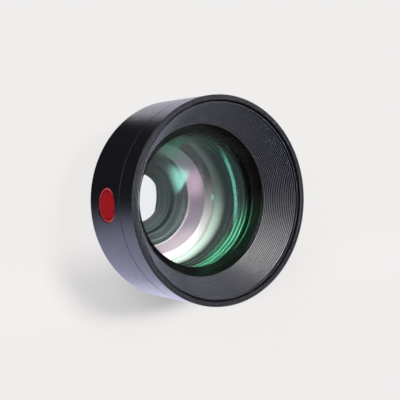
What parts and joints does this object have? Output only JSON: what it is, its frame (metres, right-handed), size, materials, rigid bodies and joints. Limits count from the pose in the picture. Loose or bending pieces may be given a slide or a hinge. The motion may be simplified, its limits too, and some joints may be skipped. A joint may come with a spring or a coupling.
{
  "type": "phone telephoto lens",
  "caption": "Clip-on telephoto lens for a phone camera: black barrel, ribbed front hood, large coated front glass, plain red side disc and a bayonet stem at the back.",
  "frame": {"origin": "centre of the stem's end face, on which the lens stands", "axes": "+Z along the optical axis to the front glass, -Y through the side disc, X through the two bayonet lugs"},
  "size_m": [0.046, 0.046, 0.035],
  "materials": {
    "anodised_black": "satin black anodised",
    "ribbed_black": "satin black anodised, turned ridges",
    "gloss_black": "glossy black",
    "matt_black": "matt black",
    "coated_glass": "polished, green and magenta coating",
    "seal_rubber": "matt",
    "stem_steel": "fine turned",
    "shim_brass": "rolled",
    "felt": "felt",
    "badge_red": "satin red"
  },
  "bodies": {
    "root": {"rear_barrel": "anodised_black", "front_ring": "anodised_black", "hood_cone": "ribbed_black", "front_element": "coated_glass", "front_retaining_ring": "gloss_black", "front_seal": "seal_rubber", "front_spacer": "matt_black", "doublet_crown": "coated_glass", "doublet_flint": "coated_glass", "baffle_tube": "matt_black", "rear_group_front": "coated_glass", "rear_group_back": "coated_glass", "aperture_stop": "matt_black", "rear_retaining_ring": "matt_black", "mount_stem": "stem_steel", "mount_shim": "shim_brass", "mount_screws": "stem_steel", "clocking_pin": "stem_steel", "felt_ring": "felt", "badge_disc": "badge_red"}
  },
  "joints": []
}
